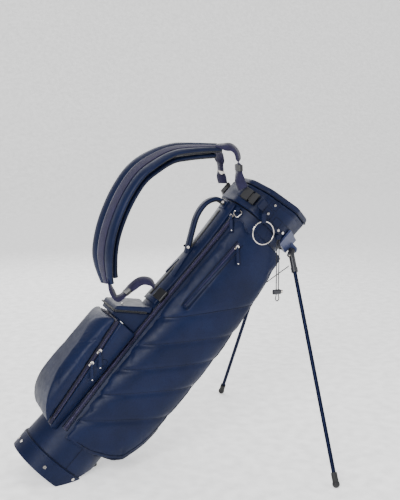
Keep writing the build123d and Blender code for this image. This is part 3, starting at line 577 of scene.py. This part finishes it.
class STANDBAG_OT_body(bpy.types.Operator):
    """Leather over the round body, and the seams and welts of the base"""
    bl_idname = "standbag.body"
    bl_label = "Body"

    def execute(self, context):
        wall = through([(r, 0, h) for h, r in BODY], 8)
        bm = bmesh.new()
        ring = [bm.verts.new(p) for p in wall] + [bm.verts.new(p - Vector((3, 0, 0))) for p in reversed(wall)]
        edges = [bm.edges.new((ring[k], ring[(k + 1) % len(ring)])) for k in range(len(ring))]
        bmesh.ops.spin(bm, geom=ring + edges, cent=(0, 0, 0), axis=UP, angle=math.tau, steps=120, use_merge=True)
        cut = bmesh.ops.bisect_plane(bm, geom=bm.verts[:] + bm.edges[:] + bm.faces[:], plane_co=LEVEL * 7.9,
                                     plane_no=PLUMB, clear_inner=True)
        bmesh.ops.contextual_create(bm, geom=[e for e in cut["geom_cut"] if isinstance(e, bmesh.types.BMEdge)])
        bmesh.ops.recalc_face_normals(bm, faces=bm.faces)
        mesh = bpy.data.meshes.new("shell")
        bm.to_mesh(mesh)
        bm.free()
        shell = linked("shell", mesh)
        bm = bmesh.new()
        bmesh.ops.create_cube(bm, size=1)
        bmesh.ops.scale(bm, vec=(80, 56, 26.4), verts=bm.verts)
        bmesh.ops.transform(bm, matrix=FROM_ROW @ Matrix.Translation((-0.2125, 0, 0)) @ Matrix.Scale(0.001, 4),
                            verts=bm.verts)
        mesh = bpy.data.meshes.new("slot")
        bm.to_mesh(mesh)
        bm.free()
        cutter = linked("slot", mesh)
        cut = shell.modifiers.new("Lever slot", "BOOLEAN")
        cut.operation, cut.object, cut.solver = "DIFFERENCE", cutter, "EXACT"
        bm = bmesh.new()
        bm.from_mesh(evaluated(shell))
        bpy.data.objects.remove(shell)
        bpy.data.objects.remove(cutter)
        finished(bm, "body_cover", "navy_leather", nodes=["body_shell"], sharp=50)

        # round cloth floor of the lining
        bm = bmesh.new()
        bmesh.ops.create_circle(bm, cap_ends=True, segments=64, radius=radius_at(80) - 3.1)
        bmesh.ops.translate(bm, vec=(0, 0, 80), verts=bm.verts)
        finished(bm, "lining_floor", "black_lining")

        # seams: one down the side of the body's foot, and the folded edge round the base
        side = through([on_back(h, 92, 0.1) for h in (46, 62, 80, 98, 110)], 5)
        finished(welt(side, 0.9), "foot_seam", "welt")
        rim = [Vector((math.cos(a), math.sin(a), 0)) * 93.4 + UP * 45.4
               for a in (math.radians(k) for k in range(68, 293, 4))]
        finished(welt(rim, 1.3), "base_welt", "welt")
        low = [Vector((math.cos(a), math.sin(a), 0)) * 96.0 + UP * 38.5
               for a in (math.radians(k) for k in range(66, 295, 4))]
        finished(welt(low, 0.55), "base_stitching", "painted_highlight_welt")
        return {"FINISHED"}


QUILTS = ((520.5, 1.06), (431.7, 0.97), (352.2, 0.94), (273.4, 0.89), (189.3, 0.80))


class STANDBAG_OT_side_pockets(bpy.types.Operator):
    """Padded garment pockets down both sides, with their quilting and piping"""
    bl_idname = "standbag.side_pockets"
    bl_label = "Side Pockets"

    def execute(self, context):
        sizes = context.scene.stand_bag_sizes
        near = puffed(skin_of("side_pocket_near", 3.0, 8), sizes.puff * 1000)
        for vert in near.verts:
            if vert.normal.y < -0.15:
                gaps = [abs(vert.co.z - h - slope * vert.co.x) / math.hypot(1, slope) for h, slope in QUILTS]
                near_seam = min(gaps)
                if vert.co.z < QUILTS[0][0] + QUILTS[0][1] * vert.co.x + 30:
                    vert.co -= vert.normal * (2.4 * math.exp(-(near_seam / 6) ** 2) + 0.9 * math.exp(-(near_seam / 16) ** 2))
        near.normal_update()
        skin = BVHTree.FromBMesh(near)
        runs = []
        for i, (h, slope) in enumerate(QUILTS):
            line = laid(skin, [(f, 0, h + slope * f + 5 * math.sin((f + 60) / 60)) for f in range(-52 + 3 * i, 134, 4)],
                        ACROSS, -0.2)
            runs.append(welt(line, 0.95 if i == 0 else 0.6))
        quilting = join(*runs)
        edge = through([(f, 0, h) for f, h in SIDE_FRONT[::-1]] + [(25, 0, 103), (-4, 0, 99), (-42, 0, 95)], 5)
        pipes = []
        for inset, radius in ((4.5, sizes.welt * 1000), (14, sizes.welt * 700)):
            line = []
            for i, at in enumerate(edge):
                along = (edge[min(i + 1, len(edge) - 1)] - edge[max(i - 1, 0)]).normalized()
                inward = ACROSS.cross(along)
                line.append(at + inward * inset)
            line = [p for p in line if p.z > 97 + inset]
            pipes.append(welt(laid(skin, line, ACROSS, 0.3), radius))
        piping = join(*pipes)
        # sewn lips either side of the valuables zip
        lips = []
        for across in (-8.2, 8.2):
            line = laid(skin, [(-33 + across + 0.0175 * (h - 622), 0, h) for h in range(516, 730, 6)], ACROSS, 0.4)
            lips.append(welt(line, 1.3))
        finished(join(*lips), "valuables_zip_lips", "welt")
        for side, name in ((1, "near"), (-1, "far")):
            for form, label, finish in ((near, "side_pocket_cover", "navy_leather"), (quilting, "quilting", "welt"),
                                        (piping, "side_piping", "welt")):
                copy = form.copy()
                bmesh.ops.scale(copy, vec=(1, side, 1), verts=copy.verts)
                nodes = [f"side_pocket_{name}"] if form is near else ()
                made = finished(copy, f"{label}_{name}", finish, nodes=nodes)
        for form in (near, quilting, piping):
            form.free()
        return {"FINISHED"}


class STANDBAG_OT_zips(bpy.types.Operator):
    """Zip tapes with their moulded coils"""
    bl_idname = "standbag.zips"
    bl_label = "Zips"

    def execute(self, context):
        steps = []
        for h in range(114, 770, 8):
            a = math.radians(seam_angle(h) - 5.2)
            out = Vector((-math.cos(a), -math.sin(a), 0))
            steps.append((on_back(h, seam_angle(h) - 5.2, 1.5), Vector((math.sin(a), -math.cos(a), 0)), out))
        finished(swept(steps, lambda t: ((-5, -0.8), (5, -0.8), (5, 0.5), (2.4, 0.8), (-2.4, 0.8), (-5, 0.5))),
                 "garment_zip_tape", "zip_tape", nodes=["garment_zip"])
        finished(swept(steps, lambda t: ((-1.7, 0.7), (1.7, 0.7), (1.2, 1.9), (0, 2.2), (-1.2, 1.9))),
                 "garment_zip_coil", "zip_teeth")
        edges = []
        for off in (-7.4, 7.4):
            edges.append(welt([at + across * off - out * 0.6 for at, across, out in steps], 1.1))
        finished(join(*edges), "garment_zip_welts", "welt")

        turn = Matrix.Translation((-33, -83.4, 622)) @ Matrix.Rotation(math.radians(1.0), 4, "Y") @ Matrix.Rotation(
            math.radians(1.2), 4, "X")
        steps = [(turn @ Vector((0, -0.8, z)), Vector((1, 0, 0)), -ACROSS) for z in range(-103, 104, 6)]
        finished(swept(steps, lambda t: ((-6, -0.8), (6, -0.8), (6, 0.5), (2.4, 0.8), (-2.4, 0.8), (-6, 0.5))),
                 "valuables_zip_tape", "zip_tape", nodes=["valuables_zip"])
        finished(swept(steps, lambda t: ((-1.7, 0.7), (1.7, 0.7), (1.2, 1.9), (0, 2.2), (-1.2, 1.9))),
                 "valuables_zip_coil", "zip_teeth")
        return {"FINISHED"}


def parting_f(h):
    """Where the ball pocket's zip runs, front to back, at a height."""
    return -99 - (h - 142) * 0.1388


class STANDBAG_OT_ball_pocket(bpy.types.Operator):
    """Ball pocket: padded door, gusset, the zip between them, and its welts"""
    bl_idname = "standbag.ball_pocket"
    bl_label = "Ball Pocket"

    def execute(self, context):
        sizes = context.scene.stand_bag_sizes
        gusset = skin_of("ball_pocket", 2.5, 6)
        door = puffed(skin_of("ball_pocket_door", 2.5, 8), sizes.puff * 1000)
        tape = skin_of("ball_zip", 1.6, 2)
        skins = {"gusset": BVHTree.FromBMesh(gusset), "door": BVHTree.FromBMesh(door), "tape": BVHTree.FromBMesh(tape)}

        def round_the_pocket(skin, shift, lift):
            near = laid(skins[skin], [(parting_f(h) + shift, -60, h) for h in range(120, 366, 6)], ACROSS, lift)
            over = laid(skins[skin], [(parting_f(384) + shift, s, 380) for s in range(-58, 59, 6)], -UP, lift)
            far = laid(skins[skin], [(parting_f(h) + shift, 60, h) for h in range(360, 119, -6)], -ACROSS, lift)
            return near + over + far

        finished(welt(round_the_pocket("tape", 0, 0.4), 1.5), "ball_zip_coil", "zip_teeth")
        finished(welt(round_the_pocket("gusset", 6.8, 0.3), 1.2), "gusset_welt", "painted_highlight_welt")
        finished(welt(round_the_pocket("door", -6.8, 0.3), 1.2), "door_welt", "welt")
        # closed ring pressed into the gusset over its magnet
        centre = Vector((-93, -70, 292))
        ring = laid(skins["gusset"], [centre + Vector((math.cos(a), 0, math.sin(a))) * 9 for a in
                                      (math.radians(k) for k in range(0, 360, 12))], ACROSS, 0.1)
        finished(welt(ring, 0.9, closed=True), "gusset_ring", "welt")
        # sewn line down the outside of the gusset, near its join with the body
        for side, name in ((1, "near"), (-1, "far")):
            line = laid(skins["gusset"], [(-79 + (h - 110) * 0.004, -60 * side, h) for h in range(112, 386, 6)],
                        ACROSS * side, 0.2)
            finished(welt(line, 0.7), f"gusset_seam_{name}", "welt")
        finished(gusset, "ball_pocket_gusset", "navy_leather", nodes=["ball_pocket"])
        made = finished(door, "ball_pocket_door_cover", "navy_leather", nodes=["ball_pocket_door"])
        finished(tape, "ball_zip_tape", "zip_tape", nodes=["ball_zip"])
        return {"FINISHED"}


class STANDBAG_OT_pouch(bpy.types.Operator):
    """Open pouch over the ball pocket and its flap with the bound edge"""
    bl_idname = "standbag.pouch"
    bl_label = "Pouch"

    def execute(self, context):
        finished(skin_of("pouch", 1.2, 2), "pouch_cover", "navy_leather", nodes=["pouch"])
        finished(skin_of("pouch_flap", 1.8, 5), "pouch_flap_cover", "navy_leather", "pouch_flap", ["pouch_flap"])
        corner = [(-84, -51.6, 448), (-118, -51.8, 425), (-148, -51.6, 404.5), (-152.5, -47, 402.5)]
        edge = through(corner + [(f, -s, h) for f, s, h in corner[::-1]], 6)
        finished(welt(edge, 2.5), "flap_binding", "black_webbing", "pouch_flap")
        finished(domed((-140, -30, 427.4), (-0.55, 0, 0.83), 3.4, 1.8), "flap_rivet", "nickel", "pouch_flap")
        return {"FINISHED"}


class STANDBAG_OT_spine(bpy.types.Operator):
    """Mesh spine panel, grab handle and the patches it is sewn to"""
    bl_idname = "standbag.spine"
    bl_label = "Spine and Handle"

    def execute(self, context):
        panel = skin_of("spine_panel", 1.8, 3)
        skin = BVHTree.FromBMesh(panel)
        finished(panel, "spine_cover", "navy_leather", nodes=["spine_panel"])
        strip = []
        for h in range(492, 772, 7):
            row = laid(skin, [on_back(h, 0, 0)], Vector((1, 0, 0)), 0.5)
            strip += [(at, ACROSS, Vector((-1, 0, 0))) for at in row]
        finished(swept(strip, lambda t: ((-7, -1.4), (-5, 0.6), (5, 0.6), (7, -1.4))), "spine_strip", "black_mesh")
        for side in (-1, 1):
            edge = [(on_back(h, side * (seam_angle(h) - 11), 0), h) for h in range(470, 780, 7)]
            line = []
            for at, h in edge:
                line += laid(skin, [at], Vector((-at.x, -at.y, 0)).normalized(), 0.3)
            finished(welt(line, 0.9), "spine_seam_" + ("near" if side > 0 else "far"), "welt")
        finished(skin_of("patches", 1.0, 2), "leather_patches", "navy_leather", nodes=["patches"])
        grip = ((-84, 625), (-108, 668), (-131, 714), (-135, 752), (-122, 778), (-100, 785), (-90, 785))
        steps = flat_steps(grip, 0, centre=(-80, 715))
        finished(swept(steps, lambda t: ((-11.6, -1), (-9, -1.6), (9, -1.6), (11.6, -1), (11.8, 2), (9.6, 5), (5, 6.3),
                                         (-5, 6.3), (-9.6, 5), (-11.8, 2))), "handle_wrap", "navy_leather", nodes=["handle"])
        finished(swept(steps, lambda t: ((-10.6, -1.2), (-9, -4.6), (-4, -6.3), (4, -6.3), (9, -4.6), (10.6, -1.2))),
                 "handle_lining", "black_webbing")
        seams = [welt([at + across * side * 8.6 + out * 5.4 for at, across, out in steps[3:-3]], 0.5) for side in (-1, 1)]
        finished(join(*seams), "handle_stitching", "welt")
        return {"FINISHED"}


RIM = Matrix.Translation((0, 0, 881)) @ Matrix.Rotation(math.radians(-8.5), 4, "Y")


class STANDBAG_OT_collar(bpy.types.Operator):
    """Collar, padded rim and the padded bars that divide the mouth"""
    bl_idname = "standbag.collar"
    bl_label = "Collar and Rim"

    def execute(self, context):
        collar = skin_of("collar", 2.5, 5)
        skin = BVHTree.FromBMesh(collar)
        finished(collar, "collar_cover", "navy_leather", nodes=["collar"])
        outer, inner = rounded(MOUTH, 28, 12), rounded(MOUTH_IN, 22, 12)
        section = [(0.0, -6.5), (-0.0, -2.0), (0.02, 2.0), (0.12, 5.2), (0.3, 7.0), (0.5, 7.3), (0.72, 6.4), (0.9, 4.2),
                   (1.0, 0.5), (0.97, -4.0), (0.85, -7.4), (0.5, -8.4), (0.12, -8.2)]
        bm = bmesh.new()
        rings = []
        for share, height in section:
            points = [RIM @ (a.lerp(b, share) + UP * height) for a, b in zip(outer, inner)]
            ring = [bm.verts.new(p) for p in points]
            rings.append([bm.edges.new((ring[k], ring[(k + 1) % len(ring)])) for k in range(len(ring))])
        for here, there in zip(rings, rings[1:] + rings[:1]):
            bmesh.ops.bridge_loops(bm, edges=here + there)
        bmesh.ops.subdivide_edges(bm, edges=bm.edges, cuts=1, smooth=0.6, use_grid_fill=True)
        made = finished(bm, "padded_rim", "navy_leather", nodes=["collar_rim"])
        finished(welt([RIM @ (p * 1.004 + UP * -7.2) for p in outer], 1.6, closed=True), "rim_welt", "welt")
        # twin rows of stitching round the collar
        rows = []
        for drop in (-16, -20, -48):
            row = []
            for p in outer:
                at = RIM @ (p + UP * drop)
                inward = Vector((-at.x, -at.y, 0)).normalized()
                row += laid(skin, [at], inward, 0.15)
            rows.append(welt(row, 0.55, closed=True))
        finished(join(*rows), "collar_stitching", "welt")
        for node in ("divider_across", "divider_lengthwise"):
            made = finished(skin_of(node, 1.8, 5), f"{node}_cover", "navy_leather", nodes=[node])
        for node in ("ring_tabs", "cord_outlet"):
            finished(skin_of(node, 0.8, 2), f"{node}_cover", "navy_leather", nodes=[node])
        # sewn tabs on the collar's side: one above the other, below the rim
        tabs = []
        for f, h, wide, tall in ((-30, 853, 24, 20), (-30, 826, 26, 24), (3, 826, 22, 20)):
            for side in (-1, 1):
                outline = [(f + a * wide / 2, 0, h + b * tall / 2) for a, b in
                           ((-1, -1), (0, -1), (1, -1), (1, 0), (1, 1), (0, 1), (-1, 1), (-1, 0))]
                dense = [Vector(outline[k]).lerp(Vector(outline[(k + 1) % 8]), t / 4) for k in range(8) for t in range(4)]
                row = laid(skin, dense, ACROSS * -side, 0.1)
                if len(row) == len(dense):
                    tabs.append(welt(row, 0.6, closed=True))
        finished(join(*tabs), "tab_seams", "welt")
        return {"FINISHED"}


# runs of the webbing, and how far it is turned about itself at shares of each run
WEBBING = (
    ("webbing_upper_near", ((-222, -18, 870), (-208, -27, 880), (-193, -38, 890), (-176, -47, 887), (-158, -50, 872),
                            (-142, -50, 857), (-124, -52, 843), (-108, -60, 834)),
     ((0, 16), (0.25, 52), (0.5, 52), (0.62, -14), (0.7, -14), (0.86, -52), (1, -58))),
    ("webbing_upper_far", ((-218, 0, 855), (-203, 4, 862), (-190, 18, 867), (-176, 32, 866), (-163, 40, 861),
                           (-150, 40, 850), (-138, 40, 840), (-118, 46, 830)),
     ((0, 16), (0.3, -40), (0.5, -40), (0.62, -12), (0.74, -12), (0.9, -48), (1, -40))),
    ("webbing_lower", ((-208, -20, 452), (-196, -25, 443), (-182, -31, 434), (-168, -34, 428), (-158, -34, 430),
                       (-153, -34, 445), (-150, -34, 470), (-143, -34, 497), (-124, -34, 511), (-106, -36, 509)),
     ((0, 16), (0.25, 40), (0.42, 30), (0.56, 12), (0.72, 38), (0.88, 44), (1, 24))))


class STANDBAG_OT_strap(bpy.types.Operator):
    """Two padded shoulder straps with mesh backs, and the webbing that carries them"""
    bl_idname = "standbag.strap"
    bl_label = "Shoulder Strap"

    def execute(self, context):
        def width_at(share):
            for (a, wa), (b, wb) in zip(PAD_WIDTHS, PAD_WIDTHS[1:]):
                if share <= b:
                    t = (share - a) / (b - a)
                    return wa + (wb - wa) * t * t * (3 - 2 * t)
            return PAD_WIDTHS[-1][1]

        for name, off, s, width in (("near", 6, -12, 92), ("far", -13, -2, 80)):
            points = []
            for f, h in STRAP:
                away = Vector((f + 170, h - 655)).normalized() * off
                points.append((f + away.x, h + away.y))
            steps = flat_steps(points, s, centre=(-170, 655))
            tilted = []
            for at, across, out in steps:
                turn = Matrix.Rotation(math.radians(-16), 3, out.cross(across))
                tilted.append((at, turn @ across, turn @ out))

            def top(share):
                half = width_at(share) * width / 2
                return [(-half, -1.5), (-half * 0.99, 1.5), (-half * 0.86, 4.9), (-half * 0.62, 6), (-half * 0.4, 4.6),
                        (-half * 0.33, 3.2), (half * 0.33, 3.2), (half * 0.4, 4.6), (half * 0.62, 6), (half * 0.86, 4.9),
                        (half * 0.99, 1.5), (half, -1.5)]

            def back(share):
                half = width_at(share) * width / 2
                return [(-half * 0.985, -1.2), (-half, -2.6), (-half * 0.9, -5.2), (-half * 0.5, -6), (half * 0.5, -6),
                        (half * 0.9, -5.2), (half, -2.6), (half * 0.985, -1.2)]

            made = finished(swept(tilted, top), f"strap_pad_{name}_leather", "navy_leather", "strap",
                            [f"strap_pad_{name}"])
            finished(swept(tilted, back), f"strap_pad_{name}_mesh", "black_mesh", "strap")
            stripe = [(at + out * 4.2, across, out) for at, across, out in tilted]
            finished(swept(stripe, lambda t: [(a * width_at(t) * width * 0.16, b) for a, b in
                                              ((-1, -1), (-1, 0.7), (-0.8, 1.1), (0.8, 1.1), (1, 0.7), (1, -1))]),
                     f"strap_stripe_{name}", "navy_webbing", "strap")
            seams = [welt([at + across * (side * width_at(i / (len(tilted) - 1)) * width * 0.485) - out * 1.3
                           for i, (at, across, out) in enumerate(tilted)], 1.3) for side in (-1, 1)]
            finished(join(*seams), f"strap_binding_{name}", "black_webbing", "strap")

        ribbon = ((-12.5, -1), (-12.5, 1), (12.5, 1), (12.5, -1))
        for name, points, turns in WEBBING:
            steps, run = [], through(points, 7)
            for i, at in enumerate(run):
                along = (run[min(i + 1, len(run) - 1)] - run[max(i - 1, 0)]).normalized()
                out = along.cross(ACROSS).normalized()
                share = i / (len(run) - 1)
                for (t0, a0), (t1, a1) in zip(turns, turns[1:]):
                    if t0 <= share <= t1:
                        ease = (share - t0) / (t1 - t0)
                        angle = a0 + (a1 - a0) * ease * ease * (3 - 2 * ease)
                turn = Matrix.Rotation(math.radians(angle), 3, along)
                steps.append((at, turn @ out.cross(along), turn @ out))
            finished(swept(steps, lambda t: ribbon), name, "navy_webbing", "strap",
                     ["webbing"] if name == "webbing_lower" else ())
        return {"FINISHED"}


class STANDBAG_OT_leg_pad(bpy.types.Operator):
    """Padded panel on the leg side, with its sewn edge"""
    bl_idname = "standbag.leg_pad"
    bl_label = "Leg Pad"

    def execute(self, context):
        sizes = context.scene.stand_bag_sizes
        pad = puffed(skin_of("leg_pad", 3.0, 5), sizes.puff * 1000)
        for vert in pad.verts:
            if vert.normal.x > 0.2:
                off = min(abs(vert.co.z - h) for h in range(170, 560, 60))
                vert.co -= vert.normal * 2.2 * math.exp(-(off / 6) ** 2)
        pad.normal_update()
        skin = BVHTree.FromBMesh(pad)
        forward = Vector((-1, 0, 0))
        rows = [welt(laid(skin, [(130, s, h) for s in range(-24, 25, 3)], forward, -0.2), 0.6) for h in range(170, 560, 60)]
        for s in (-22, 22):
            rows.append(welt(laid(skin, [(130, s, h) for h in range(134, 560, 8)], forward, 0.1), 0.9))
        finished(join(*rows), "leg_pad_seams", "welt")
        made = finished(pad, "leg_pad_cover", "navy_leather", nodes=["leg_pad"])
        return {"FINISHED"}


class STANDBAG_OT_zip_pulls(bpy.types.Operator):
    """Leather zip pulls, each with its rivet and wire link"""
    bl_idname = "standbag.zip_pulls"
    bl_label = "Zip Pulls"

    def execute(self, context):
        garment = on_back(764, seam_angle(764) - 5.2, 2.6) + Vector((-0.84, -0.54, 0)) * 7.2
        hung = {"garment_pull": (garment, (-0.49, 0.47, 0.735), (-0.68, -0.73, 0)),
                "valuables_pull": ((-31.1, -93.4, 711), (-0.69, 0.13, 0.71), (-0.05, -0.98, 0.1)),
                "ball_pull_upper": ((parting_f(306), -81.8, 306), PLUMB, (-0.02, -1, 0)),
                "ball_pull_lower": ((parting_f(272), -81.8, 272), PLUMB, (-0.02, -1, 0))}
        for node, (at, along, out) in hung.items():
            place = pointing(at, along, out)
            finished(skin_of(node, 0.7, 2), f"{node}_leather", "navy_leather", node, [node])
            heads = [domed(place @ Vector((0, 2.2, -38)), place.to_3x3() @ ACROSS, 2.1, 1.3)]
            link = [place @ Vector((2.6 * math.cos(a), 1.2, 1.0 + 4.2 * math.sin(a))) for a in
                    (math.radians(k) for k in range(0, 360, 20))]
            heads.append(welt(link, 0.7, closed=True))
            finished(join(*heads), f"{node}_fittings", "nickel", node)
            seam = [place @ Vector((a * 3.6, 2.5, -26 + b * 15.8)) for a, b in
                    ((-1, -0.9), (-0.8, -1), (0.8, -1), (1, -0.9), (1, 0.9), (0.8, 1), (-0.8, 1), (-1, 0.9))]
            finished(welt(seam, 0.35, closed=True), f"{node}_stitching", "welt", node)
        return {"FINISHED"}


class STANDBAG_OT_hardware(bpy.types.Operator):
    """Finish of the moulded and metal pieces"""
    bl_idname = "standbag.hardware"
    bl_label = "Hardware Finishes"

    def execute(self, context):
        slots = {part["node"]: part["material_slot"] for part in frame["record"]["subparts"]}
        for node, made in frame["nodes"].items():
            made.data.materials.clear()
            made.data.materials.append(FINISH[slots[node]])
        return {"FINISHED"}


class STANDBAG_PT_panel(bpy.types.Panel):
    """Lists the pieces and their settings"""
    bl_idname = "STANDBAG_PT_panel"
    bl_label = "Golf Stand Bag"
    bl_space_type = "VIEW_3D"
    bl_region_type = "UI"
    bl_category = "Stand Bag"

    def draw(self, context):
        for group in (context.scene.stand_bag_colours, context.scene.stand_bag_sizes):
            for name in group.bl_rna.properties.keys():
                if name not in ("rna_type", "name"):
                    self.layout.prop(group, name)
        for operator in OPERATORS:
            self.layout.operator(operator.bl_idname)


OPERATORS = (STANDBAG_OT_stage, STANDBAG_OT_drawcord, STANDBAG_OT_body, STANDBAG_OT_side_pockets, STANDBAG_OT_zips,
             STANDBAG_OT_ball_pocket, STANDBAG_OT_pouch, STANDBAG_OT_spine, STANDBAG_OT_collar, STANDBAG_OT_strap,
             STANDBAG_OT_leg_pad, STANDBAG_OT_zip_pulls, STANDBAG_OT_hardware)
CLASSES = (StandBagColours, StandBagSizes, *OPERATORS, STANDBAG_PT_panel)


def register():
    for entry in CLASSES:
        bpy.utils.register_class(entry)
    bpy.types.Scene.stand_bag_colours = bpy.props.PointerProperty(type=StandBagColours)
    bpy.types.Scene.stand_bag_sizes = bpy.props.PointerProperty(type=StandBagSizes)


def unregister():
    del bpy.types.Scene.stand_bag_sizes
    del bpy.types.Scene.stand_bag_colours
    for entry in reversed(CLASSES):
        bpy.utils.unregister_class(entry)


def main():
    register()
    scene = bpy.context.scene
    mix_finishes(scene.stand_bag_colours, scene.stand_bag_sizes)
    for operator in OPERATORS:
        group, name = operator.bl_idname.split(".")
        getattr(getattr(bpy.ops, group), name)()


if __name__ == "__main__":
    main()
